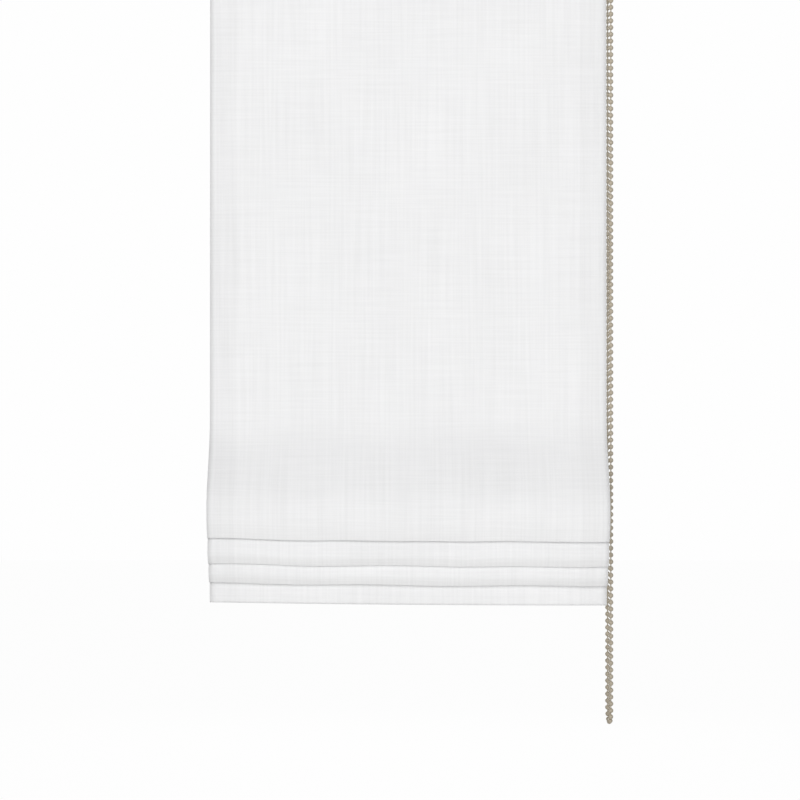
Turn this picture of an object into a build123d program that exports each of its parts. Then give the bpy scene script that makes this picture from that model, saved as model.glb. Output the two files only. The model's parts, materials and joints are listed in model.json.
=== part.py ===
"""Roman blind, half raised: clip-on headrail, bead-chain drive, cord drums and folded cloth.

The origin is midway between the two bracket screws, on the plane that the brackets are screwed to.
X runs along the headrail, -Y is the room side and Z is up. Lengths are in millimetres.
"""
from build123d import *
import math
import os

os.makedirs("parts", exist_ok=True)

# Made-to-measure sizes of the blind
cloth_width = 350.0
hem_drop = 590.0

# Shared clearances
overrun = 1.0
seam_gap = 0.3
running_gap = 0.3
slip_gap = 0.15

# Brackets
bracket_inset = 75.0
bracket_width = 26.0
bracket_sheet = 1.2
bracket_hole_radius = 2.25
screw_head_room = 3.8

# Headrail extrusion
rail_inset = 7.0
rail_depth = 34.0
rail_body_height = 34.0
rail_wall = 1.6
rail_flange_depth = 30.6
rail_flange_height = 1.6
rail_neck_depth = 26.6
rail_groove_height = 2.5
rail_mouth = 20.0
rail_lip_rise = 1.6
rail_corner = 1.2

# Hook-and-loop fixing of the cloth
tape_height = 20.0
tape_thickness = 1.5
tape_recess = 0.8
tape_end_gap = 2.0
tape_drop = 8.0

# Shaft, drums and lift cords
shaft_rise = 17.0
shaft_size = 6.0
shaft_corner = 0.6
cord_radius = 0.6
cord_turn_radius = 8.0
cord_inset = 63.0
drum_width = 34.0
drum_flange_radius = 12.0
drum_flange = 1.6
drum_journal_radius = 5.4
drum_journal = 3.0
winding_width = 12.0
cradle_plate = 2.0
cradle_rise = 8.0
cradle_window = 20.0

# Left end cap and idle bush
cap_plate = 3.0
cap_plug = 10.0
cap_boss_wall = 1.8
bush_radius = 5.4
bush_length = 9.0

# Bead chain and its wheel
bead_radius = 2.25
bead_pitch = 6.0
neck_radius = 0.75
bead_sides = 6
wheel_beads = 12
strand_beads = 110
chain_offset = 12.0
pocket_gap = 0.3
wheel_rim = 6.4
wheel_rim_proud = 1.0
wheel_link_slot = 2.6
wheel_cup_length = 5.6
wheel_cup_wall = 1.9

# Drive housing, cover and brake
housing_plug = 12.0
housing_plate = 2.5
brake_hub_radius = 6.0
brake_hub_wall = 1.3
brake_wire = 1.1
brake_turns = 4
cover_wall = 1.6
cover_depth = 17.0
cover_corner = 4.0
chain_room = 0.8
coupler_flange = 1.4
coupler_flange_radius = 8.0
coupler_socket_wall = 1.4
coupler_socket = 14.0
screw_radius = 1.2
screw_head_radius = 2.3
screw_head = 1.5

# Cloth
cloth_thickness = 0.9
cloth_top_drop = 2.0
slope_rise = 150.0
slope_radius = 35.0
fold_bottom_rises = (58.0, 35.5, 18.0)
fold_reaches = (29.5, 21.0, 13.0)
fold_faces = (27.0, 14.0, 13.5)
fold_radius = 3.5
hem_reach = 3.4
hem_face = 16.0
hem_pocket = 5.0
hem_return = 27.0
hem_lap = 1.9
layer_pitch = 3.0
pass_gap = 1.6
crest_width = 3.2
crest_front_share = 0.125
crest_radius = 1.1
bend_radius = 6.0

# Rods, pockets, rings and bottom bar
rod_radius = 2.0
rod_end_gap = 5.0
last_rod_lead = 30.0
first_rod_drop = 105.0
upper_rods = 3
stack_rod_rise = 125.0
stack_rod_pitch = 13.0
stack_rods = 3
pocket_wall = 0.6
pocket_end_gap = 2.5
ring_radius = 5.0
ring_hole_radius = 3.0
ring_thickness = 2.4
ring_tab_width = 6.0
lock_radius = 3.2
lock_length = 9.0
bar_height = 20.0
bar_thickness = 3.0
bar_end_gap = 6.0

# Lengths and places worked out from the sizes above
rail_length = cloth_width - 2 * rail_inset
rail_end = rail_length / 2
tape_length = rail_length - 2 * tape_end_gap
bracket_spacing = cloth_width - 2 * bracket_inset
cord_spacing = rail_length - 2 * cord_inset
rod_length = cloth_width - 2 * rod_end_gap
pocket_length = cloth_width - 2 * pocket_end_gap
bar_length = cloth_width - 2 * bar_end_gap
rail_top = -(bracket_sheet + screw_head_room)
rail_shoulder = rail_top - rail_flange_height - rail_groove_height
rail_bottom = rail_shoulder - rail_body_height
rail_front = -rail_depth / 2
shaft_z = rail_bottom + shaft_rise
cord_y = -cord_turn_radius
tape_middle = rail_shoulder - tape_drop - tape_height / 2
cloth_back = rail_front + tape_recess - 2 * tape_thickness
cloth_line = cloth_back - cloth_thickness / 2
cloth_top = rail_top - cloth_top_drop
pocket_radius = rod_radius + slip_gap + pocket_wall
rod_y = cloth_back + seam_gap + pocket_radius
slope_start_drop = hem_drop - slope_rise
fold_bottom_drops = [hem_drop - rise for rise in fold_bottom_rises]
stack_rod_drop = hem_drop - stack_rod_rise
stack_rod_drops = [stack_rod_drop + k * stack_rod_pitch for k in range(stack_rods)]
rod_pitch = (stack_rod_drop - last_rod_lead - first_rod_drop) / (upper_rods - 1)
upper_rod_drops = [first_rod_drop + k * rod_pitch for k in range(upper_rods)]
wheel_radius = bead_pitch / (2 * math.sin(math.pi / wheel_beads))
chain_x = rail_end + chain_offset


def save(piece, name):
    """Label a finished piece and write it to its own file."""
    piece.part.label = name
    export_step(piece.part, f"parts/{name}.step")


def rail_outline():
    """The headrail's outer section, without the flange that the brackets grip."""
    with Locations((0, (rail_shoulder + rail_bottom) / 2)):
        RectangleRounded(rail_depth, rail_body_height, rail_corner)


# Headrail: an extrusion open below, with a gripped flange on top and a recess for the hook tape
with BuildPart() as headrail:
    with BuildSketch(Plane.YZ.offset(-rail_end)):
        rail_outline()
        neck_height = rail_flange_height + rail_groove_height + rail_wall
        with Locations((0, rail_top - rail_flange_height / 2)):
            Rectangle(rail_flange_depth, rail_flange_height)
        with Locations((0, rail_top - neck_height / 2)):
            Rectangle(rail_neck_depth, neck_height)
        inner_height = rail_body_height - 2 * rail_wall
        with Locations((0, rail_bottom + rail_body_height / 2)):
            Rectangle(rail_depth - 2 * rail_wall, inner_height, mode=Mode.SUBTRACT)
        with Locations((0, rail_top - (rail_flange_height + neck_height) / 2)):
            Rectangle(rail_neck_depth - 2 * rail_wall, neck_height - rail_flange_height, mode=Mode.SUBTRACT)
        lip_height = rail_wall + rail_lip_rise
        with Locations((0, rail_bottom + lip_height / 2)):
            Rectangle(rail_mouth + 2 * rail_wall, lip_height)
            Rectangle(rail_mouth, lip_height + 2 * overrun, mode=Mode.SUBTRACT)
        with Locations((rail_front, tape_middle)):
            Rectangle(2 * tape_recess, tape_height + 2 * slip_gap, mode=Mode.SUBTRACT)
    extrude(amount=rail_length)
save(headrail, "headrail")

# Hook tape in the rail's recess, and the loop tape sewn to the cloth
for tape_name, tape_back in (
    ("hook_tape", rail_front + tape_recess),
    ("loop_tape", rail_front + tape_recess - tape_thickness),
):
    with BuildPart() as tape:
        with BuildSketch(Plane.YZ.offset(-tape_length / 2)):
            with Locations((tape_back - tape_thickness / 2, tape_middle)):
                Rectangle(tape_thickness, tape_height)
        extrude(amount=tape_length)
    save(tape, tape_name)

# Brackets of bent sheet: a crown with one free screw hole, two legs and two hooks under the rail's flange
leg_outer = rail_flange_depth / 2 + slip_gap + bracket_sheet
hook_top = rail_top - rail_flange_height - slip_gap
hook_bottom = hook_top - bracket_sheet
hook_tip = rail_neck_depth / 2 + slip_gap
for side, bracket_x in (("left", -bracket_spacing / 2), ("right", bracket_spacing / 2)):
    with BuildPart() as bracket:
        with BuildSketch(Plane.YZ.offset(bracket_x - bracket_width / 2)):
            with BuildLine():
                Polyline(
                    (0, 0),
                    (leg_outer, 0),
                    (leg_outer, hook_bottom),
                    (hook_tip, hook_bottom),
                    (hook_tip, hook_top),
                    (leg_outer - bracket_sheet, hook_top),
                    (leg_outer - bracket_sheet, -bracket_sheet),
                    (0, -bracket_sheet),
                    close=True,
                )
            make_face()
            mirror(about=Plane.YZ)
        extrude(amount=bracket_width)
        crown = bracket.faces().sort_by(Axis.Z)[-1]
        with BuildSketch(Plane.XY):
            with Locations((bracket_x, 0)):
                Circle(bracket_hole_radius)
        extrude(amount=-bracket_sheet - overrun, mode=Mode.SUBTRACT)
        fillet(crown.edges().filter_by(Axis.X), bracket_sheet - slip_gap)
    save(bracket, f"bracket_{side}")

# Left end cap: a plate of the rail's section, a plug inside the rail and a bearing for the idle bush
bush_seat_radius = bush_radius + slip_gap
with BuildPart() as end_cap:
    with BuildSketch(Plane.YZ.offset(-rail_end - cap_plate)):
        rail_outline()
    extrude(amount=cap_plate)
    plug_depth = rail_depth - 2 * (rail_wall + slip_gap)
    plug_bottom = rail_bottom + rail_wall + rail_lip_rise + slip_gap
    plug_top = rail_shoulder - rail_wall - slip_gap
    with BuildSketch(Plane.YZ.offset(-rail_end)):
        with Locations((0, (plug_top + plug_bottom) / 2)):
            Rectangle(plug_depth, plug_top - plug_bottom)
            plug_hollow = plug_top - plug_bottom - 2 * rail_wall
            Rectangle(plug_depth - 2 * rail_wall, plug_hollow, mode=Mode.SUBTRACT)
        with Locations((0, shaft_z)):
            Circle(bush_seat_radius + cap_boss_wall)
    extrude(amount=cap_plug)
    with BuildSketch(Plane.YZ.offset(-rail_end)):
        with Locations((0, shaft_z)):
            Circle(bush_seat_radius)
    extrude(amount=cap_plug + overrun, mode=Mode.SUBTRACT)
    fillet(end_cap.faces().sort_by(Axis.X)[0].edges(), rail_corner / 2)
save(end_cap, "end_cap")

# Idle bush on the shaft's left end
bush_x = -rail_end + running_gap
with BuildPart() as idle_bush:
    with BuildSketch(Plane.YZ.offset(bush_x)):
        with Locations((0, shaft_z)):
            Circle(bush_radius)
            Rectangle(shaft_size + 2 * slip_gap, shaft_size + 2 * slip_gap, mode=Mode.SUBTRACT)
    extrude(amount=bush_length)
save(idle_bush, "idle_bush")

# Square shaft from the idle bush to the drive coupler
hub_bore = brake_hub_radius - brake_hub_wall
coupler_start = rail_end - housing_plug - coupler_socket
shaft_end = coupler_start + coupler_socket - slip_gap
with BuildPart() as shaft:
    with BuildSketch(Plane.YZ.offset(bush_x)):
        with Locations((0, shaft_z)):
            RectangleRounded(shaft_size, shaft_size, shaft_corner)
    extrude(amount=shaft_end - bush_x)
save(shaft, "drive_shaft")

# Cord drums, their windings, cradles and lift cords
drum_core_radius = cord_turn_radius - cord_radius - running_gap
drum_inner = drum_width / 2 - drum_flange
cheek_x = drum_width / 2 + running_gap
lock_top_z = -stack_rod_drops[-1] - ring_thickness / 2
for side, cord_x, hand in (("left", -cord_spacing / 2, -1), ("right", cord_spacing / 2, 1)):
    drum_x = cord_x + hand * (winding_width + cord_radius) / 2
    with BuildPart() as drum:
        with BuildSketch(Plane(origin=(drum_x, 0, shaft_z), x_dir=(1, 0, 0), z_dir=(0, -1, 0))):
            with BuildLine():
                Polyline(
                    (-drum_width / 2 - drum_journal, 0),
                    (-drum_width / 2 - drum_journal, drum_journal_radius),
                    (-drum_width / 2, drum_journal_radius),
                    (-drum_width / 2, drum_flange_radius),
                    (-drum_inner, drum_flange_radius),
                    (-drum_inner, drum_core_radius),
                    (drum_inner, drum_core_radius),
                    (drum_inner, drum_flange_radius),
                    (drum_width / 2, drum_flange_radius),
                    (drum_width / 2, drum_journal_radius),
                    (drum_width / 2 + drum_journal, drum_journal_radius),
                    (drum_width / 2 + drum_journal, 0),
                    close=True,
                )
            make_face()
        revolve(axis=Axis((0, 0, shaft_z), (1, 0, 0)))
        with BuildSketch(Plane.YZ.offset(drum_x)):
            with Locations((0, shaft_z)):
                Rectangle(shaft_size + 2 * slip_gap, shaft_size + 2 * slip_gap)
        extrude(amount=drum_width / 2 + drum_journal + overrun, both=True, mode=Mode.SUBTRACT)
    save(drum, f"cord_drum_{side}")

    winding_x = cord_x + hand * (cord_radius + running_gap)
    with BuildPart() as winding:
        with BuildSketch(Plane.YZ.offset(winding_x)):
            with Locations((0, shaft_z)):
                Circle(drum_core_radius + 2 * cord_radius)
                Circle(drum_core_radius, mode=Mode.SUBTRACT)
        extrude(amount=hand * winding_width)
    save(winding, f"cord_winding_{side}")

    base_z = rail_bottom + rail_wall + rail_lip_rise
    with BuildPart() as cradle:
        cradle_depth = rail_depth - 2 * (rail_wall + slip_gap)
        cheek_outer = cheek_x + cradle_plate
        with BuildSketch(Plane.XY.offset(base_z)):
            with Locations((drum_x, 0)):
                Rectangle(2 * cheek_outer, cradle_depth)
                Rectangle(2 * cheek_x, cradle_window, mode=Mode.SUBTRACT)
        extrude(amount=cradle_plate)
        for cheek_side in (-1, 1):
            with BuildSketch(Plane.YZ.offset(drum_x + cheek_side * cheek_x)):
                cheek_top = shaft_z + cradle_rise
                with Locations((0, (base_z + cheek_top) / 2)):
                    Rectangle(cradle_window + 2 * cradle_plate, cheek_top - base_z)
                with Locations((0, shaft_z)):
                    Circle(drum_journal_radius + running_gap, mode=Mode.SUBTRACT)
            extrude(amount=cheek_side * cradle_plate)
    save(cradle, f"drum_cradle_{side}")

    with BuildPart() as lift_cord:
        with BuildSketch(Plane.XY.offset(shaft_z)):
            with Locations((cord_x, cord_y)):
                Circle(cord_radius)
        extrude(amount=lock_top_z - lock_length - shaft_z)
    save(lift_cord, f"lift_cord_{side}")

# Drive housing: a plug in the rail's right end, a plate and the fixed hub that the brake grips
plate_x = rail_end + housing_plate
bead_room = wheel_radius + bead_radius + chain_room
with BuildPart() as drive_housing:
    with BuildSketch(Plane.YZ.offset(rail_end)):
        rail_outline()
    extrude(amount=housing_plate)
    with BuildSketch(Plane.YZ.offset(rail_end)):
        with Locations((0, (plug_top + plug_bottom) / 2)):
            Rectangle(plug_depth, plug_top - plug_bottom)
            Rectangle(plug_depth - 2 * rail_wall, plug_hollow, mode=Mode.SUBTRACT)
    extrude(amount=-housing_plug)
    hub_length = chain_offset - housing_plate + wheel_rim / 2
    with BuildSketch(Plane.YZ.offset(plate_x)):
        with Locations((0, shaft_z)):
            Circle(brake_hub_radius)
    extrude(amount=hub_length)
    with BuildSketch(Plane.YZ.offset(rail_end)):
        with Locations((0, shaft_z)):
            Circle(hub_bore)
    extrude(amount=housing_plate + hub_length + overrun, mode=Mode.SUBTRACT)
    screw_place = rail_depth / 2 - cover_corner + screw_radius / 2
    screw_rise = rail_shoulder - shaft_z - cover_corner + screw_radius / 2
    with BuildSketch(Plane.YZ.offset(rail_end - overrun)):
        with Locations((-screw_place, shaft_z + screw_rise), (screw_place, shaft_z + screw_rise)):
            Circle(screw_radius + slip_gap)
    extrude(amount=housing_plate + 2 * overrun, mode=Mode.SUBTRACT)
save(drive_housing, "drive_housing")

# Brake spring wrapped on the hub, drawn as one ridged sleeve
with BuildPart() as brake_spring:
    spring_inner = brake_hub_radius + slip_gap
    spring_start = plate_x + slip_gap
    with BuildSketch(Plane(origin=(spring_start, 0, shaft_z), x_dir=(1, 0, 0), z_dir=(0, -1, 0))):
        with BuildLine():
            ridge = [(0, spring_inner), (0, spring_inner + brake_wire / 2)]
            for turn in range(brake_turns):
                ridge.append(((turn + 1 / 2) * brake_wire, spring_inner + brake_wire))
                ridge.append(((turn + 1) * brake_wire, spring_inner + brake_wire / 2))
            ridge.append((brake_turns * brake_wire, spring_inner))
            Polyline(*ridge, close=True)
        make_face()
    revolve(axis=Axis((0, 0, shaft_z), (1, 0, 0)))
save(brake_spring, "brake_spring")

# Chain wheel: a cup over the brake spring and a rim with one pocket for each bead
rim_start = chain_x - wheel_rim / 2
rim_radius = wheel_radius + wheel_rim_proud
cup_inner = spring_inner + brake_wire + running_gap
wheel_bore = brake_hub_radius + running_gap
with BuildPart() as chain_wheel:
    with BuildSketch(Plane.YZ.offset(rim_start)):
        with Locations((0, shaft_z)):
            Circle(rim_radius)
    extrude(amount=wheel_rim)
    with BuildSketch(Plane.YZ.offset(rim_start)):
        with Locations((0, shaft_z)):
            Circle(cup_inner + wheel_cup_wall)
            Circle(cup_inner, mode=Mode.SUBTRACT)
    extrude(amount=-wheel_cup_length)
    with BuildSketch(Plane.YZ.offset(rim_start)):
        with Locations((0, shaft_z)):
            Circle(wheel_bore)
    extrude(amount=wheel_rim + overrun, mode=Mode.SUBTRACT)
    with BuildSketch(Plane.YZ.offset(chain_x)):
        with Locations((0, shaft_z)):
            Circle(rim_radius + overrun)
            Circle(wheel_radius - wheel_link_slot / 2, mode=Mode.SUBTRACT)
    extrude(amount=wheel_link_slot / 2, both=True, mode=Mode.SUBTRACT)
    bead_turns = [2 * math.pi * k / wheel_beads for k in range(wheel_beads)]
    bead_places = [(wheel_radius * math.cos(a), shaft_z + wheel_radius * math.sin(a)) for a in bead_turns]
    with Locations(*[(chain_x, y, z) for y, z in bead_places]):
        Sphere(bead_radius + pocket_gap, mode=Mode.SUBTRACT)
save(chain_wheel, "chain_wheel")

# Shaft coupler: a square socket on the shaft, a spindle through the hub and a flange for the wheel
coupler_end = chain_x + wheel_rim / 2 + running_gap
spindle_radius = hub_bore - slip_gap
socket_radius = shaft_size / math.sqrt(2) + coupler_socket_wall
with BuildPart() as coupler:
    with BuildSketch(Plane.YZ.offset(coupler_start)):
        with Locations((0, shaft_z)):
            Circle(socket_radius)
            Rectangle(shaft_size + 2 * slip_gap, shaft_size + 2 * slip_gap, mode=Mode.SUBTRACT)
    extrude(amount=coupler_socket)
    with BuildSketch(Plane.YZ.offset(coupler_start + coupler_socket)):
        with Locations((0, shaft_z)):
            Circle(spindle_radius)
    extrude(amount=coupler_end - coupler_start - coupler_socket)
    with BuildSketch(Plane.YZ.offset(coupler_end)):
        with Locations((0, shaft_z)):
            Circle(coupler_flange_radius)
    extrude(amount=coupler_flange)
save(coupler, "shaft_coupler")

# Drive cover: a moulded shell over the wheel, with two slots that the chain leaves by
with BuildPart() as drive_cover:
    with BuildSketch(Plane.YZ.offset(plate_x)):
        rail_outline()
    extrude(amount=cover_depth)
    outer_face = drive_cover.faces().sort_by(Axis.X)[-1]
    fillet(outer_face.edges(), cover_wall)
    cavity = cover_depth - cover_wall
    with BuildSketch(Plane.YZ.offset(plate_x)):
        floor_z = rail_bottom + cover_wall
        with Locations((0, shaft_z)):
            Circle(bead_room)
        with Locations((0, (shaft_z + floor_z) / 2)):
            Rectangle(2 * bead_room, shaft_z - floor_z)
    extrude(amount=cavity, mode=Mode.SUBTRACT)
    slot_size = 2 * (bead_radius + chain_room)
    with BuildSketch(Plane.XY.offset(rail_bottom - overrun)):
        with Locations((chain_x, -wheel_radius), (chain_x, wheel_radius)):
            Rectangle(slot_size, slot_size)
    extrude(amount=cover_wall + 2 * overrun, mode=Mode.SUBTRACT)
    with BuildSketch(Plane.YZ.offset(plate_x - overrun)):
        with Locations((-screw_place, shaft_z + screw_rise), (screw_place, shaft_z + screw_rise)):
            Circle(screw_radius + slip_gap)
    extrude(amount=cover_depth + 2 * overrun, mode=Mode.SUBTRACT)
    with BuildSketch(Plane.YZ.offset(plate_x + cover_depth)):
        with Locations((-screw_place, shaft_z + screw_rise), (screw_place, shaft_z + screw_rise)):
            Circle(screw_head_radius + slip_gap)
    extrude(amount=-screw_head, mode=Mode.SUBTRACT)
save(drive_cover, "drive_cover")

# The two screws that hold the drive cover to its housing
with BuildPart() as cover_screws:
    with BuildSketch(Plane.YZ.offset(plate_x + cover_depth - screw_head)):
        with Locations((-screw_place, shaft_z + screw_rise), (screw_place, shaft_z + screw_rise)):
            Circle(screw_head_radius)
    extrude(amount=screw_head)
    with BuildSketch(Plane.YZ.offset(plate_x + cover_depth - screw_head)):
        with Locations((-screw_place, shaft_z + screw_rise), (screw_place, shaft_z + screw_rise)):
            Circle(screw_radius)
    extrude(amount=screw_head - cover_depth - housing_plate)
save(cover_screws, "cover_screws")


def chain_frames():
    """Centre and heading of every bead's middle and of every neck, once round the loop."""
    half_turn = [(turn + 1) * math.pi / wheel_beads for turn in range(wheel_beads)]
    low_z = shaft_z - strand_beads * bead_pitch
    frames = []
    for step in range(2 * strand_beads + 1):
        frames.append((-wheel_radius, shaft_z - step * bead_pitch / 2, (0, 0, -1)))
    for angle in half_turn:
        heading = (0, math.sin(angle), -math.cos(angle))
        frames.append((-wheel_radius * math.cos(angle), low_z - wheel_radius * math.sin(angle), heading))
    for step in range(1, 2 * strand_beads + 1):
        frames.append((wheel_radius, low_z + step * bead_pitch / 2, (0, 0, 1)))
    for angle in half_turn[:-1]:
        heading = (0, -math.sin(angle), math.cos(angle))
        frames.append((wheel_radius * math.cos(angle), shaft_z + wheel_radius * math.sin(angle), heading))
    return frames


# Bead chain: an endless string of faceted beads, lofted from bead middles to necks in two halves that meet
frames = chain_frames()
turn_over = len(frames) // 2
chain_halves = []
for start, end in ((0, turn_over), (turn_over, len(frames))):
    with BuildPart() as chain_half:
        for k in range(start, end + 1):
            y, z, heading = frames[k % len(frames)]
            with BuildSketch(Plane(origin=(chain_x, y, z), x_dir=(1, 0, 0), z_dir=heading)):
                RegularPolygon(neck_radius if k % 2 else bead_radius, bead_sides)
        loft(ruled=True)
    chain_halves.append(chain_half.part)
export_step(Compound(label="bead_chain", children=chain_halves), "parts/bead_chain.step")


def cloth_points():
    """The cloth's mid-line from the headrail to the hem, with a bend radius for each inner point."""
    rod_front = rod_y - pocket_radius
    first_pass = rod_front - pass_gap - cloth_thickness
    crest_front = rod_front - crest_width * crest_front_share
    crest_back = crest_front + crest_width
    points = [(cloth_line, cloth_top), (cloth_line, -slope_start_drop)]
    radii = [slope_radius]
    for fold in range(stack_rods):
        face_y = cloth_back - cloth_thickness / 2 - fold_reaches[fold]
        bottom_z = -fold_bottom_drops[fold] + cloth_thickness / 2
        for lower in range(fold, stack_rods):
            if fold > 0:
                layers = 2 * (lower - fold)
                points.append((first_pass - layers * layer_pitch, -stack_rod_drops[lower]))
                radii.append(bend_radius)
        points.append((face_y, bottom_z + fold_faces[fold]))
        radii.append(slope_radius if fold == 0 else bend_radius)
        points += [(face_y, bottom_z), (face_y + 2 * fold_radius, bottom_z)]
        radii += [fold_radius, fold_radius]
        for lower in range(stack_rods - 1, fold, -1):
            layers = 2 * (lower - fold) - 1
            points.append((first_pass - layers * layer_pitch, -stack_rod_drops[lower]))
            radii.append(bend_radius)
        crest_z = -stack_rod_drops[fold] - pocket_radius - seam_gap - cloth_thickness / 2
        points += [(crest_front, crest_z), (crest_back, crest_z)]
        radii += [crest_radius, crest_radius]
    hem_y = cloth_line - hem_reach
    hem_z = -hem_drop + cloth_thickness / 2
    points += [(hem_y, hem_z + hem_face), (hem_y, hem_z), (hem_y + hem_pocket, hem_z)]
    radii += [bend_radius, hem_pocket / 2 - slip_gap, hem_pocket / 2 - slip_gap]
    points += [(hem_y + hem_pocket, hem_z + bar_height), (hem_y + hem_lap, hem_z + hem_return)]
    radii += [bend_radius]
    return points, radii


# Cloth: one sheet with three hanging folds and a pocket for the bottom bar
path_points, path_radii = cloth_points()
with BuildPart() as blind_cloth:
    with BuildSketch(Plane.YZ.offset(-cloth_width / 2)):
        with BuildLine():
            FilletPolyline(*path_points, radius=path_radii)
        trace(line_width=cloth_thickness)
    extrude(amount=cloth_width)
save(blind_cloth, "blind_cloth")


def rod_set(number, drop):
    """One stiffening rod, the tape pocket round it and its two cord rings."""
    with BuildPart() as rod:
        with BuildSketch(Plane.YZ.offset(-rod_length / 2)):
            with Locations((rod_y, -drop)):
                Circle(rod_radius)
        extrude(amount=rod_length)
    save(rod, f"rod_{number}")

    with BuildPart() as pocket:
        with BuildSketch(Plane.YZ.offset(-pocket_length / 2)):
            with Locations((rod_y, -drop)):
                Circle(pocket_radius)
                Circle(pocket_radius - pocket_wall, mode=Mode.SUBTRACT)
        extrude(amount=pocket_length)
    save(pocket, f"rod_pocket_{number}")

    with BuildPart() as rings:
        tab_front = rod_y + pocket_radius + slip_gap
        with BuildSketch(Plane.XY.offset(-drop - ring_thickness / 2)):
            for ring_x in (-cord_spacing / 2, cord_spacing / 2):
                with Locations((ring_x, cord_y)):
                    Circle(ring_radius)
                with Locations((ring_x, (tab_front + cord_y) / 2)):
                    Rectangle(ring_tab_width, cord_y - tab_front)
                with Locations((ring_x, cord_y)):
                    Circle(ring_hole_radius, mode=Mode.SUBTRACT)
        extrude(amount=ring_thickness)
    save(rings, f"cord_rings_{number}")


# Rods on the flat panel, then rods gathered in the stack, numbered from the top
for k, drop in enumerate(upper_rod_drops + stack_rod_drops):
    rod_set(k + 1, drop)

# Cord locks under the lowest rings
with BuildPart() as cord_locks:
    with BuildSketch(Plane.XY.offset(lock_top_z)):
        with Locations((-cord_spacing / 2, cord_y), (cord_spacing / 2, cord_y)):
            Circle(lock_radius)
            Circle(cord_radius + running_gap, mode=Mode.SUBTRACT)
    extrude(amount=-lock_length)
save(cord_locks, "cord_locks")

# Bottom bar in the hem pocket
bar_y = cloth_line - hem_reach + hem_pocket / 2
bar_middle = -hem_drop + cloth_thickness + running_gap + bar_thickness / 2 + bar_height / 2
with BuildPart() as bottom_bar:
    with BuildSketch(Plane.YZ.offset(-bar_length / 2)):
        with Locations((bar_y, bar_middle)):
            SlotOverall(bar_height, bar_thickness, rotation=90)
    extrude(amount=bar_length)
save(bottom_bar, "bottom_bar")
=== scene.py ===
"""Roman blind, half raised: cloth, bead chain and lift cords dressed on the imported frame."""
import json
import math

import bmesh
import bpy
from bpy.props import FloatProperty, FloatVectorProperty, IntProperty, PointerProperty
from bpy.types import Operator, Panel, PropertyGroup
from mathutils import Matrix, Vector, noise


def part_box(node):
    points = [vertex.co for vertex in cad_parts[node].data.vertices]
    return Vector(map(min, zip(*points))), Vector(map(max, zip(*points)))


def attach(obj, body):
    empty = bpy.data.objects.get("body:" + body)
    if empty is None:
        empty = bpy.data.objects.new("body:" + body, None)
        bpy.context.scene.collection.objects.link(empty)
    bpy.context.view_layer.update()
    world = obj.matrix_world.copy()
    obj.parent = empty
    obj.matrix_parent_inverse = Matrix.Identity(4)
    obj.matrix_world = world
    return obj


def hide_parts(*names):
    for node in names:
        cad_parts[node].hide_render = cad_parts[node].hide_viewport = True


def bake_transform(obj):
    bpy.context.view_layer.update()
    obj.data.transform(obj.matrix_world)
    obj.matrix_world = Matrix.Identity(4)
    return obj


bl_info = {
    "name": "Roman Blind",
    "version": (1, 0, 0),
    "blender": (4, 5, 0),
    "location": "View3D > Sidebar > Blind",
    "description": "Dresses a packed roman blind with cloth, chain, cords, materials and a stage",
    "category": "Object",
}

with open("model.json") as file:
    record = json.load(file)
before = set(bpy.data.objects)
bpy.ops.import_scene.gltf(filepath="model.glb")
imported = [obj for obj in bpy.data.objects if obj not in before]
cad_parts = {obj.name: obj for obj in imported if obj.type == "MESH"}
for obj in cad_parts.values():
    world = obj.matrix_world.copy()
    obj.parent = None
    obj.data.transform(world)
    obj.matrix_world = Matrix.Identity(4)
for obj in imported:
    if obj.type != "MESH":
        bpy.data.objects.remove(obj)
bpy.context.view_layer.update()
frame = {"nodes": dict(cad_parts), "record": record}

# The rods that hang gathered in the folds
STACK_RODS = (4, 5, 6)

# Linen, in metres: a thread's pitch, and each pattern's size across and along the drop
THREAD_PITCH = 0.0007
WARP_SIZE = (0.0022, 0.110)
WEFT_SIZE = (0.060, 0.0016)
SLUB_SIZE = (0.022, 0.0014)
CLOUD_SIZE = (0.09, 0.12)
THREAD_DETAIL = 3.0

# Where most of a noise's values lie, and what each pattern does to the cloth's tone
NOISE_RANGE = (0.3, 0.7)
SLUB_RANGE = (0.66, 0.76)
WARP_TONE = (0.96, 1.01)
WEFT_TONE = (-0.018, 0.020)
SLUB_TONE = (0.0, 0.03)
CLOUD_TONE = (-0.016, 0.016)
# Painted shade: the double side hems are darkened, as two layers let less window light through than
# one
HEM_PAINTED_SHADE = 0.972
HEM_EDGE = 0.001

# The cloth's relief and surface
WEAVE_SHARE = 0.25
WEAVE_BUMP = 0.35
WEAVE_DEPTH = 0.0002
CLOTH_ROUGHNESS = 0.92
SHEEN = 0.08
SHEEN_ROUGHNESS = 0.6

# Tape and cord: their rib, its depth as a share of a thread, and their surface
RIB_SCALE = 0.3
RIB_UNEVENNESS = 0.4
RIB_TONE = (0.93, 1.0)
RIB_BUMP = 0.5
RIB_DEPTH = 0.25
FIBRE_ROUGHNESS = 0.9

# Plastic and metal: patches or drawn lines in a metre, depth as a share of the grain, and gloss
GRAIN_DEPTH = 0.125
MOULDED_PATCHES = 40.0
MOULDED_BUMP = 0.2
MOULDED_GLOSS = 0.05
MOULDED_TONE = (0.97, 1.02)
METAL_LINES = 4.0
METAL_BUMP = 0.15
METAL_GLOSS = 0.06
METAL_TONE = (0.97, 1.01)

# Steps on the cloth's arcs and on a route's runs, and the order of a route's curve
ARC_STEP = math.pi / 14
ROUTE_STEPS = 64
ROUTE_ORDER = 3

# Waves of the cloth's unevenness, in a metre across and down, and where the folds' noise is read
PANEL_WAVES = (7, 3)
FOLD_WAVES = (16, 30)
FOLD_NOISE_PLACE = 5.0

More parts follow.
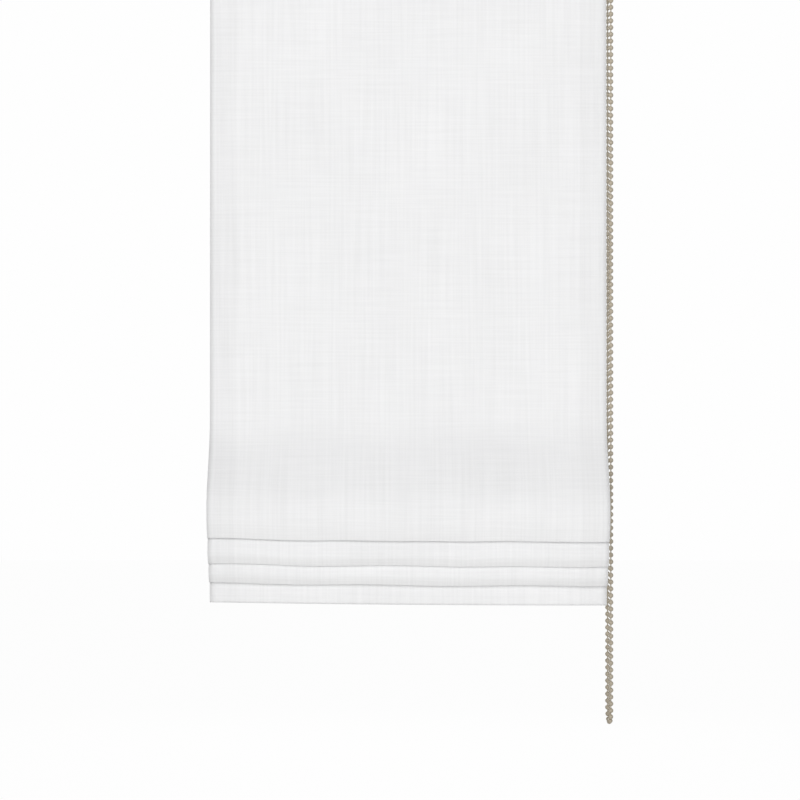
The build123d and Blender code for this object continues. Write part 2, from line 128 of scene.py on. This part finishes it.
# Stage: floor, light of the room, lamps (name, y, turn, energy) and camera
FLOOR_SIZE = 6.0
FLOOR_Z = -1.12
FLOOR_WHITENESS = 0.985
FLOOR_COLOUR = "#F4F4F2"
WHITE = "#FEFEFE"
ROOM_LIGHT = 0.26
LAMPS = (("room_side", -2.4, 0.0, 42.5), ("window_side", 2.4, 180.0, 36.0))
LAMP_SIZE = 1.8
LAMP_Z = 0.14
LENS = 76.4
SENSOR = 36.0
CAMERA_PLACE = (-0.0073, -1.520, -0.410)
LEVEL = math.radians(90)


def length(name, default):
    """A length in metres, as a setting."""
    return FloatProperty(name=name, default=default, unit="LENGTH", precision=5)


def lengths(name, default):
    """A length in metres for each fold, from the front, as a setting."""
    return FloatVectorProperty(name=name, default=default, precision=5)


class FoldSettings(PropertyGroup):
    """The line that the cloth follows from the headrail to the hem."""

    slope_start: length("Slope start below the mount", 0.440)
    slope_radius: length("Radius at the slope's start", 0.060)
    face_radius: length("Radius at the front fold's face", 0.045)
    bottoms: lengths("Fold bottoms", (0.532, 0.5545, 0.572))
    reaches: lengths("Fold reaches", (0.0295, 0.021, 0.013))
    faces: lengths("Fold faces", (0.036, 0.014, 0.0135))
    fold_width: length("Width of a fold's bottom", 0.007)
    rolls: lengths("Heights that roll under", (0.014, 0.0072, 0.0066))
    tucks: lengths("Depths rolled under", (0.0058, 0.0046, 0.0042))
    roll_radii: lengths("Radii of the rolls", (0.045, 0.009, 0.009))
    crease_radius: length("Radius of a fold's crease", 0.0006)
    layer_pitch: length("Pitch of passing layers", 0.003)
    pass_gap: length("Gap at a passed rod", 0.0016)
    crest_width: length("Crest width", 0.0032)
    crest_front_share: FloatProperty(name="Share of a crest before its rod", default=0.125)
    crest_radius: length("Crest radius", 0.0011)
    crest_gap: length("Gap under a rod pocket", 0.0003)
    bend_radius: length("Bend radius", 0.006)
    hem_reach: length("Hem reach", 0.0034)
    hem_face: length("Hem face", 0.016)
    hem_pocket: length("Hem pocket", 0.005)
    hem_radius: length("Hem radius", 0.00235)
    hem_rise: length("Hem pocket's height", 0.020)
    hem_return: length("Hem return", 0.027)
    hem_lap: length("Hem lap", 0.0019)


class ClothSettings(PropertyGroup):
    """The cloth's own thickness, hems, unevenness and mesh."""

    line_thickness: length("Thickness of the sheet that it stands for", 0.0009)
    hem_width: length("Side hem", 0.024)
    single_share: FloatProperty(name="Share of the thickness between the side hems", default=0.55)
    column: length("Column width", 0.005)
    run: length("Longest row", 0.005)
    lean: length("Forward lean at the last flat rod", 0.002)
    tilt: length("Drop of the folds at the right", 0.0014)
    sag: length("Drop of the folds in the middle", 0.0008)
    ripple: length("Unevenness of the panel", 0.0005)
    waver: length("Unevenness of the folds", 0.0012)


class ChainSettings(PropertyGroup):
    """The bead chain's beads and loop."""

    bead_radius: length("Bead radius", 0.00225)
    link_radius: length("Link radius", 0.00055)
    pitch: length("Bead pitch", 0.006)
    wheel_beads: IntProperty(name="Beads round the wheel", default=12)
    strand_beads: IntProperty(name="Beads in a strand", default=110)
    bead_segments: IntProperty(name="Segments round a bead", default=14)
    bead_rings: IntProperty(name="Rings on a bead", default=9)
    link_sides: IntProperty(name="Sides of a link", default=8)


class CordSettings(PropertyGroup):
    """The two lift cords."""

    radius: length("Radius", 0.0006)
    y: length("Place behind the cloth", -0.008)
    sides: IntProperty(name="Sides", default=10)
    steps: IntProperty(name="Points along a cord", default=120)


def linear(code):
    """A colour written as sRGB hex, as the linear colour that nodes take."""
    parts = [int(code[i:i + 2], 16) / 255 for i in (1, 3, 5)]
    return [c / 12.92 if c <= 0.04045 else ((c + 0.055) / 1.055) ** 2.4 for c in parts] + [1.0]


def add(tree, kind, inputs=None, **settings):
    """Add one node, with its settings, values and links."""
    made = tree.nodes.new(kind)
    for name, value in settings.items():
        setattr(made, name, value)
    for name, value in (inputs or {}).items():
        if isinstance(value, bpy.types.NodeSocket):
            tree.links.new(value, made.inputs[name])
        else:
            made.inputs[name].default_value = value
    return made


def begin(name):
    """A new material and its empty node tree."""
    material = bpy.data.materials.new(name)
    material.use_nodes = True
    material.node_tree.nodes.clear()
    return material, material.node_tree


def end(material, tree, **inputs):
    """Give a material its surface."""
    named = {name.replace("_", " "): value for name, value in inputs.items()}
    shader = add(tree, "ShaderNodeBsdfPrincipled", named)
    add(tree, "ShaderNodeOutputMaterial", {"Surface": shader.outputs[0]})
    return material


def scaled(tree, vector, per_metre):
    """A coordinate counted in repeats of a pattern."""
    return add(tree, "ShaderNodeMapping", {"Vector": vector, "Scale": per_metre}).outputs[0]


def calc(tree, operation, a, b=0.0):
    """One sum on two values."""
    return add(tree, "ShaderNodeMath", {0: a, 1: b}, operation=operation).outputs[0]


def between(tree, value, low, high, to_low, to_high):
    """A value carried from one range to another, clamped."""
    inputs = {
        "Value": value, "From Min": low, "From Max": high, "To Min": to_low, "To Max": to_high,
    }
    return add(tree, "ShaderNodeMapRange", inputs).outputs[0]


def streaks(tree, vector, size):
    """Noise drawn out along the threads, by its sizes in metres across and along the drop."""
    across, along = size
    stretched = scaled(tree, vector, (1 / across, 1 / along, 1.0))
    inputs = {"Vector": stretched, "Scale": 1.0, "Detail": THREAD_DETAIL}
    return add(tree, "ShaderNodeTexNoise", inputs).outputs["Fac"]


def own_noise(tree, per_metre):
    """Noise on a piece's own coordinates, by its repeats in a metre along each axis."""
    place = add(tree, "ShaderNodeTexCoord").outputs["Object"]
    inputs = {"Vector": scaled(tree, place, per_metre), "Scale": 1.0}
    return add(tree, "ShaderNodeTexNoise", inputs).outputs["Fac"]


def bumped(tree, height, strength, distance):
    """A surface's direction, shifted by a relief."""
    inputs = {"Height": height, "Strength": strength, "Distance": distance}
    return add(tree, "ShaderNodeBump", inputs).outputs[0]


def tinted(tree, code, factor):
    """A colour made lighter or darker by a factor near 1."""
    inputs = {0: linear(code)[:3], "Scale": factor}
    return add(tree, "ShaderNodeVectorMath", inputs, operation="SCALE").outputs[0]


def cloth_material(name, code):
    """Linen: slubbed warp and weft, a fine plain weave, and painted shade on the double side hems,
    which let less window light through.
    """
    material, tree = begin(name)
    uv = add(tree, "ShaderNodeUVMap", uv_map="cloth").outputs[0]
    warp = streaks(tree, uv, WARP_SIZE)
    weft = streaks(tree, uv, WEFT_SIZE)
    slub = streaks(tree, uv, SLUB_SIZE)
    cloud = streaks(tree, uv, CLOUD_SIZE)
    tone = between(tree, warp, *NOISE_RANGE, *WARP_TONE)
    tone = calc(tree, "ADD", tone, between(tree, weft, *NOISE_RANGE, *WEFT_TONE))
    tone = calc(tree, "ADD", tone, between(tree, slub, *SLUB_RANGE, *SLUB_TONE))
    tone = calc(tree, "ADD", tone, between(tree, cloud, *NOISE_RANGE, *CLOUD_TONE))
    across = add(tree, "ShaderNodeSeparateXYZ", {0: uv}).outputs[0]
    low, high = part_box("blind_cloth")
    inner = (high.x - low.x) / 2 - bpy.context.scene.blind_cloth.hem_width
    off_centre = calc(tree, "ABSOLUTE", across)
    # Painted shade over the side hems, where two layers pass less window light
    hem = between(tree, off_centre, inner, inner + HEM_EDGE, 1.0, HEM_PAINTED_SHADE)
    tone = calc(tree, "MULTIPLY", tone, hem)
    turn = 2 * math.pi / THREAD_PITCH
    thread = add(tree, "ShaderNodeSeparateXYZ", {0: scaled(tree, uv, (turn, turn, 1.0))}).outputs
    weave = calc(tree, "MULTIPLY", calc(tree, "SINE", thread[0]), calc(tree, "SINE", thread[1]))
    relief = calc(tree, "ADD", warp, weft)
    relief = calc(tree, "ADD", calc(tree, "MULTIPLY", weave, WEAVE_SHARE), relief)
    return end(
        material, tree, Base_Color=tinted(tree, code, tone), Roughness=CLOTH_ROUGHNESS,
        Normal=bumped(tree, relief, WEAVE_BUMP, WEAVE_DEPTH),
        Sheen_Weight=SHEEN, Sheen_Roughness=SHEEN_ROUGHNESS,
    )


def fibre_material(name, code, thread):
    """Woven tape or braided cord: a small diagonal rib that the tone follows."""
    material, tree = begin(name)
    place = add(tree, "ShaderNodeTexCoord").outputs["Object"]
    inputs = {
        "Vector": scaled(tree, place, (1 / thread,) * 3),
        "Scale": RIB_SCALE,
        "Distortion": RIB_UNEVENNESS,
    }
    rib = add(tree, "ShaderNodeTexWave", inputs, bands_direction="DIAGONAL").outputs["Fac"]
    tone = between(tree, rib, 0.0, 1.0, *RIB_TONE)
    return end(
        material, tree, Base_Color=tinted(tree, code, tone), Roughness=FIBRE_ROUGHNESS,
        Normal=bumped(tree, rib, RIB_BUMP, thread * RIB_DEPTH),
    )


def moulded_material(name, code, roughness, grain):
    """Moulded plastic: a fine grain, a faint tone change and uneven gloss."""
    material, tree = begin(name)
    fine = own_noise(tree, (1 / grain,) * 3)
    broad = own_noise(tree, (MOULDED_PATCHES,) * 3)
    gloss = between(tree, broad, *NOISE_RANGE, roughness - MOULDED_GLOSS, roughness + MOULDED_GLOSS)
    tone = between(tree, broad, *NOISE_RANGE, *MOULDED_TONE)
    return end(
        material, tree, Base_Color=tinted(tree, code, tone), Roughness=gloss,
        Normal=bumped(tree, fine, MOULDED_BUMP, grain * GRAIN_DEPTH),
    )


def metal_material(name, code, metallic, roughness, grain):
    """Drawn or coated metal: fine lines along X, as an extrusion has, with uneven gloss."""
    material, tree = begin(name)
    lines = own_noise(tree, (METAL_LINES, 1 / grain, 1 / grain))
    gloss = between(tree, lines, *NOISE_RANGE, roughness - METAL_GLOSS, roughness + METAL_GLOSS)
    tone = between(tree, lines, *NOISE_RANGE, *METAL_TONE)
    return end(
        material, tree, Base_Color=tinted(tree, code, tone), Metallic=metallic, Roughness=gloss,
        Normal=bumped(tree, lines, METAL_BUMP, grain * GRAIN_DEPTH),
    )


def materials():
    """One material for each of the record's slots."""
    return {
        # Off-white linen
        "cloth": cloth_material("linen", "#F3F3F4"),
        # Woven hook and loop tape
        "tape": fibre_material("tape", "#EDECE8", 0.0012),
        # Braided lift cord
        "cord": fibre_material("braid", "#EFEDE6", 0.0008),
        # White powder coat on the aluminium rail
        "rail": metal_material("powder_coat", "#EFEFEC", 0.0, 0.42, 0.0008),
        # Zinc-plated sheet steel
        "bracket": metal_material("zinc_plate", "#C9CBCC", 1.0, 0.36, 0.0006),
        # Bright drawn steel
        "steel": metal_material("bright_steel", "#B9BABA", 1.0, 0.28, 0.0004),
        # White moulded plastic
        "moulding": moulded_material("moulded_white", "#ECEBE6", 0.45, 0.0006),
        # Glass fibre rod, slightly yellow
        "rod": moulded_material("glass_fibre", "#E4E0CE", 0.4, 0.0005),
        # Undyed nylon
        "clear": moulded_material("natural_nylon", "#EEEDE6", 0.35, 0.0005),
        # Plastic beads, darkened and warmed with painted shade and a painted reflection of beige
        # surroundings
        "chain": moulded_material("bead_painted_shade", "#B2A896", 0.55, 0.0004),
    }


def new_piece(bm, name, material):
    """An object at the origin from a finished bmesh."""
    mesh = bpy.data.meshes.new(name)
    bm.to_mesh(mesh)
    bm.free()
    piece = bpy.data.objects.new(name, mesh)
    bpy.context.scene.collection.objects.link(piece)
    mesh.materials.append(bpy.data.materials[material])
    mesh.shade_smooth()
    return piece


def fold_line(fold, cloth):
    """Corners of the cloth's line in (y, z), headrail to hem, and each inner corner's radius."""
    half = cloth.line_thickness / 2
    low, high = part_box("blind_cloth")
    line_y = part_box("loop_tape")[0].y - half
    pockets = [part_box(f"rod_pocket_{k}") for k in STACK_RODS]
    rods = [(box[0].z + box[1].z) / 2 for box in pockets]
    pocket_radius = (pockets[0][1].z - pockets[0][0].z) / 2
    rod_front = pockets[0][0].y
    first_pass = rod_front - fold.pass_gap - cloth.line_thickness
    crest_front = rod_front - fold.crest_width * fold.crest_front_share
    points = [(line_y, high.z), (line_y, -fold.slope_start)]
    radii = [fold.slope_radius]
    for k, bottom in enumerate(fold.bottoms):
        face_y = line_y - fold.reaches[k]
        bottom_z = half - bottom
        for passed in range(k, len(rods) if k else 0):
            points.append((first_pass - 2 * (passed - k) * fold.layer_pitch, rods[passed]))
            radii.append(fold.bend_radius)
        points += [(face_y, bottom_z + fold.faces[k]), (face_y, bottom_z + fold.rolls[k])]
        points += [(face_y + fold.tucks[k], bottom_z), (face_y + fold.fold_width, bottom_z)]
        radii += [fold.bend_radius if k else fold.face_radius, fold.roll_radii[k]]
        radii += [fold.crease_radius, fold.crease_radius]
        for passed in range(len(rods) - 1, k, -1):
            points.append((first_pass - (2 * (passed - k) - 1) * fold.layer_pitch, rods[passed]))
            radii.append(fold.bend_radius)
        crest_z = rods[k] - pocket_radius - fold.crest_gap - half
        points += [(crest_front, crest_z), (crest_front + fold.crest_width, crest_z)]
        radii += [fold.crest_radius, fold.crest_radius]
    hem_y, hem_z = line_y - fold.hem_reach, low.z + half
    points += [(hem_y, hem_z + fold.hem_face), (hem_y, hem_z), (hem_y + fold.hem_pocket, hem_z)]
    points.append((hem_y + fold.hem_pocket, hem_z + fold.hem_rise))
    points.append((hem_y + fold.hem_lap, hem_z + fold.hem_return))
    radii += [fold.bend_radius, fold.hem_radius, fold.hem_radius, fold.bend_radius]
    return [Vector(p) for p in points], radii


def rounded(points, radii, run):
    """Points along a line with rounded corners, no further apart than run."""
    line = [points[0]]
    for before, corner, after, radius in zip(points, points[1:], points[2:], radii):
        back, on = (before - corner).normalized(), (after - corner).normalized()
        half = back.angle(on) / 2
        centre = corner + (back + on).normalized() * radius / math.sin(half)
        start, end = (corner + way * radius / math.tan(half) - centre for way in (back, on))
        steps = max(2, math.ceil((math.pi - 2 * half) / ARC_STEP))
        line += [centre + radius * start.slerp(end, k / steps) for k in range(steps + 1)]
    line.append(points[-1])
    divided = [line[0]]
    for a, b in zip(line, line[1:]):
        parts = max(1, math.ceil((b - a).length / run))
        divided += [a.lerp(b, (k + 1) / parts) for k in range(parts)]
    return divided


def distances(line):
    """How far along a line each of its points lies."""
    travelled = [0.0]
    for a, b in zip(line, line[1:]):
        travelled.append(travelled[-1] + (b - a).length)
    return travelled


def ease(value, low, high):
    """From 0 at low to 1 at high, smoothly."""
    share = min(1.0, max(0.0, (value - low) / (high - low)))
    return share * share * (3 - 2 * share)


def hang(x, y, z, half_width, rail_bottom, fold, cloth):
    """A point of the cloth's line as it hangs: leaning a little, uneven, and lower to the right."""
    drop = -z
    down = ease(drop, fold.slope_start, fold.bottoms[0])
    lean = min(1.0, max(0.0, (drop + rail_bottom) / (fold.slope_start + rail_bottom)))
    lean *= 1 - ease(drop, fold.slope_start, fold.slope_start + fold.slope_radius)
    free = ease(drop, -rail_bottom, -2 * rail_bottom)
    uneven = noise.noise(Vector((PANEL_WAVES[0] * x, 0.0, PANEL_WAVES[1] * z))) * free * (1 - down)
    loose = down * (1 - ease(drop, fold.bottoms[2], fold.bottoms[2] + fold.hem_pocket))
    waver = noise.noise(Vector((FOLD_WAVES[0] * x, FOLD_NOISE_PLACE, FOLD_WAVES[1] * z))) * loose
    share = x / half_width
    return Vector((
        x,
        y - cloth.lean * lean - cloth.ripple * uneven,
        z - down * (cloth.tilt * share + cloth.sag * (1 - share * share)) + cloth.waver * waver,
    ))


class BLIND_OT_cloth(Operator):
    """The folded cloth, one sheet from the headrail to the hem"""

    bl_idname = "blind.cloth"
    bl_label = "Cloth"

    def execute(self, context):
        fold, cloth = context.scene.blind_folds, context.scene.blind_cloth
        low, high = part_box("blind_cloth")
        half_width = (high.x - low.x) / 2
        rail_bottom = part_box("headrail")[0].z
        line = rounded(*fold_line(fold, cloth), cloth.run)
        travelled = distances(line)
        columns, rows = round(2 * half_width / cloth.column), len(line) - 1
        bm = bmesh.new()
        bmesh.ops.create_grid(bm, x_segments=columns, y_segments=rows, size=1.0, calc_uvs=False)
        uv = bm.loops.layers.uv.new("cloth")
        for face in bm.faces:
            for loop in face.loops:
                row = round((1 - loop.vert.co.y) / 2 * rows)
                loop[uv].uv = (loop.vert.co.x * half_width, travelled[row])
        for vert in bm.verts:
            row = round((1 - vert.co.y) / 2 * rows)
            vert.co = hang(vert.co.x * half_width, *line[row], half_width, rail_bottom, fold, cloth)
        bm.normal_update()
        for vert in bm.verts:
            vert.co += vert.normal * cloth.line_thickness / 2
        piece = new_piece(bm, "linen_cloth", "linen")
        group = piece.vertex_groups.new(name="side_hem")
        inner = half_width - cloth.hem_width
        group.add([v.index for v in piece.data.vertices if abs(v.co.x) > inner], 1.0, "REPLACE")
        solid = piece.modifiers.new("thickness", "SOLIDIFY")
        solid.thickness, solid.offset = cloth.line_thickness, -1.0
        solid.vertex_group, solid.thickness_vertex_group = group.name, cloth.single_share
        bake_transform(piece)
        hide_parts("blind_cloth")
        return {"FINISHED"}


def spline_points(name, points):
    """Points read along a smooth line that a route's points pull into shape."""
    curve = bpy.data.curves.new(name, "CURVE")
    curve.dimensions = "3D"
    curve.resolution_u = ROUTE_STEPS
    spline = curve.splines.new("NURBS")
    spline.points.add(len(points) - 1)
    for point, place in zip(spline.points, points):
        point.co = (*place, 1.0)
    spline.order_u = ROUTE_ORDER
    spline.use_endpoint_u = True
    holder = bpy.data.objects.new(name, curve)
    mesh = bpy.data.meshes.new_from_object(holder)
    line = [v.co.copy() for v in mesh.vertices]
    bpy.data.meshes.remove(mesh)
    bpy.data.objects.remove(holder)
    bpy.data.curves.remove(curve)
    return line


def spaced(line, count):
    """Equally spaced points along a line, both ends included, and the line's length."""
    travelled = distances(line)
    places, k = [], 0
    for step in range(count):
        goal = travelled[-1] * step / (count - 1)
        while k < len(line) - 2 and travelled[k + 1] < goal:
            k += 1
        share = (goal - travelled[k]) / (travelled[k + 1] - travelled[k])
        places.append(line[k].lerp(line[k + 1], min(1.0, share)))
    return places, travelled[-1]


class BLIND_OT_chain(Operator):
    """The bead chain, down from the drive cover, up again and over its wheel"""

    bl_idname = "blind.chain"
    bl_label = "Chain"

    def execute(self, context):
        chain = context.scene.blind_chain
        low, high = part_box("bead_chain")
        x = (low.x + high.x) / 2
        drum_low, drum_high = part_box("cord_drum_left")
        axle = (drum_low.z + drum_high.z) / 2
        r = chain.pitch / (2 * math.sin(math.pi / chain.wheel_beads))
        # Each half turn has the corners of half an octagon round it
        k = r * math.tan(math.pi / 8)
        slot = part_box("drive_cover")[0].z
        foot = axle - chain.strand_beads * chain.pitch
        route = [
            (x, -r, slot), (x, -r, foot), (x, -r, foot - k), (x, -k, foot - r),
            (x, k, foot - r), (x, r, foot - k), (x, r, foot), (x, r, axle),
            (x, r, axle + k), (x, k, axle + r), (x, -k, axle + r), (x, -r, axle + k),
            (x, -r, axle), (x, -r, slot + chain.pitch),
        ]
        line = spline_points("chain_route", route)
        beads = 2 * chain.strand_beads + chain.wheel_beads
        places, total = spaced(line, beads)
        bm = bmesh.new()
        for place in places:
            bmesh.ops.create_uvsphere(
                bm, u_segments=chain.bead_segments, v_segments=chain.bead_rings,
                radius=chain.bead_radius, matrix=Matrix.Translation(place),
            )
        for a, b in zip(places, places[1:]):
            turn = (b - a).to_track_quat("Z", "Y").to_matrix().to_4x4()
            bmesh.ops.create_cone(
                bm, segments=chain.link_sides, radius1=chain.link_radius, radius2=chain.link_radius,
                depth=chain.pitch, matrix=Matrix.Translation((a + b) / 2) @ turn,
            )
        # The beads' material carries painted shade and a painted beige reflection
        piece = new_piece(bm, "beads", "bead_painted_shade")
        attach(piece, "headrail")
        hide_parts("bead_chain")
        return {"FINISHED"}


class BLIND_OT_cords(Operator):
    """The lift cords, from their drums to the cord locks"""

    bl_idname = "blind.cords"
    bl_label = "Lift cords"

    def execute(self, context):
        cord = context.scene.blind_cords
        for side in ("left", "right"):
            low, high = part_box(f"lift_cord_{side}")
            x = (low.x + high.x) / 2
            ends = [Vector((x, cord.y, high.z)), Vector((x, cord.y, low.z))]
            line = spline_points(f"{side}_route", [ends[0], ends[0].lerp(ends[1], 0.5), ends[1]])
            places, total = spaced(line, cord.steps)
            bm = bmesh.new()
            bmesh.ops.create_circle(
                bm, segments=cord.sides, radius=cord.radius, cap_ends=True,
                matrix=Matrix.Translation(places[0]),
            )
            ring = bm.edges[:]
            for a, b in zip(places, places[1:]):
                made = bmesh.ops.extrude_edge_only(bm, edges=ring)["geom"]
                verts = [g for g in made if isinstance(g, bmesh.types.BMVert)]
                bmesh.ops.translate(bm, verts=verts, vec=b - a)
                edges = [g for g in made if isinstance(g, bmesh.types.BMEdge)]
                ring = [edge for edge in edges if len(edge.link_faces) == 1]
            bmesh.ops.contextual_create(bm, geom=ring)
            bmesh.ops.recalc_face_normals(bm, faces=bm.faces[:])
            piece = new_piece(bm, f"cord_{side}", "braid")
            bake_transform(piece)
            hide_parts(f"lift_cord_{side}")
        return {"FINISHED"}


class BLIND_OT_hardware(Operator):
    """Materials on the CAD nodes that show"""

    bl_idname = "blind.hardware"
    bl_label = "Hardware"

    def execute(self, context):
        made = materials()
        for part in frame["record"]["subparts"]:
            mesh = frame["nodes"][part["node"]].data
            mesh.materials.clear()
            mesh.materials.append(made[part["material_slot"]])
        return {"FINISHED"}


class BLIND_OT_stage(Operator):
    """Floor, light, background and camera"""

    bl_idname = "blind.stage"
    bl_label = "Stage"

    def execute(self, context):
        scene = context.scene
        scene.view_settings.view_transform = "Standard"
        bm = bmesh.new()
        bmesh.ops.create_grid(
            bm, x_segments=1, y_segments=1, size=FLOOR_SIZE,
            matrix=Matrix.Translation((0, 0, FLOOR_Z)),
        )
        # Pale floor that the camera sees as almost pure white
        _, tree = begin("pale_floor")
        seen = add(tree, "ShaderNodeLightPath").outputs["Is Camera Ray"]
        plain = add(tree, "ShaderNodeBsdfDiffuse", {"Color": linear(FLOOR_COLOUR)}).outputs[0]
        white = add(tree, "ShaderNodeEmission", {"Color": linear(WHITE)}).outputs[0]
        share = calc(tree, "MULTIPLY", seen, FLOOR_WHITENESS)
        shown = add(tree, "ShaderNodeMixShader", {0: share, 1: plain, 2: white})
        add(tree, "ShaderNodeOutputMaterial", {"Surface": shown.outputs[0]})
        floor = new_piece(bm, "floor", "pale_floor")

        # The room looks white, and gives less light than that
        world = bpy.data.worlds.new("room")
        scene.world = world
        world.use_nodes = True
        tree = world.node_tree
        tree.nodes.clear()
        path = add(tree, "ShaderNodeLightPath").outputs
        seen = calc(tree, "MAXIMUM", path["Is Camera Ray"], path["Is Glossy Ray"])
        seen = calc(tree, "MAXIMUM", seen, path["Is Transmission Ray"])
        strength = between(tree, seen, 0.0, 1.0, ROOM_LIGHT, 1.0)
        light = add(tree, "ShaderNodeBackground", {"Color": linear(WHITE), "Strength": strength})
        add(tree, "ShaderNodeOutputWorld", {"Surface": light.outputs[0]})

        for name, away, turn, energy in LAMPS:
            lamp = bpy.data.lights.new(name, "AREA")
            lamp.size, lamp.energy = LAMP_SIZE, energy
            holder = bpy.data.objects.new(name, lamp)
            holder.location = (0.0, away, LAMP_Z)
            holder.rotation_euler = (LEVEL, 0, math.radians(turn))
            scene.collection.objects.link(holder)

        camera = bpy.data.objects.new("camera", bpy.data.cameras.new("camera"))
        camera.data.lens, camera.data.sensor_width = LENS, SENSOR
        camera.location = CAMERA_PLACE
        camera.rotation_euler = (LEVEL, 0, 0)
        scene.collection.objects.link(camera)
        scene.camera = camera
        return {"FINISHED"}


class BLIND_PT_panel(Panel):
    """The blind's settings and steps"""

    bl_label = "Roman Blind"
    bl_space_type = "VIEW_3D"
    bl_region_type = "UI"
    bl_category = "Blind"

    def draw(self, context):
        for step in STEPS:
            self.layout.operator(step.bl_idname)
        for name in SETTINGS:
            box = self.layout.box()
            for key in getattr(context.scene, name).__annotations__:
                box.prop(getattr(context.scene, name), key)


SETTINGS = {
    "blind_folds": FoldSettings,
    "blind_cloth": ClothSettings,
    "blind_chain": ChainSettings,
    "blind_cords": CordSettings,
}
STEPS = (BLIND_OT_hardware, BLIND_OT_cloth, BLIND_OT_chain, BLIND_OT_cords, BLIND_OT_stage)
CLASSES = (*SETTINGS.values(), *STEPS, BLIND_PT_panel)


def register():
    for made in CLASSES:
        bpy.utils.register_class(made)
    for name, group in SETTINGS.items():
        setattr(bpy.types.Scene, name, PointerProperty(type=group))


def unregister():
    for name in SETTINGS:
        delattr(bpy.types.Scene, name)
    for made in reversed(CLASSES):
        bpy.utils.unregister_class(made)


def main():
    register()
    bpy.ops.blind.hardware()
    bpy.ops.blind.cloth()
    bpy.ops.blind.chain()
    bpy.ops.blind.cords()
    bpy.ops.blind.stage()


if __name__ == "__main__":
    main()
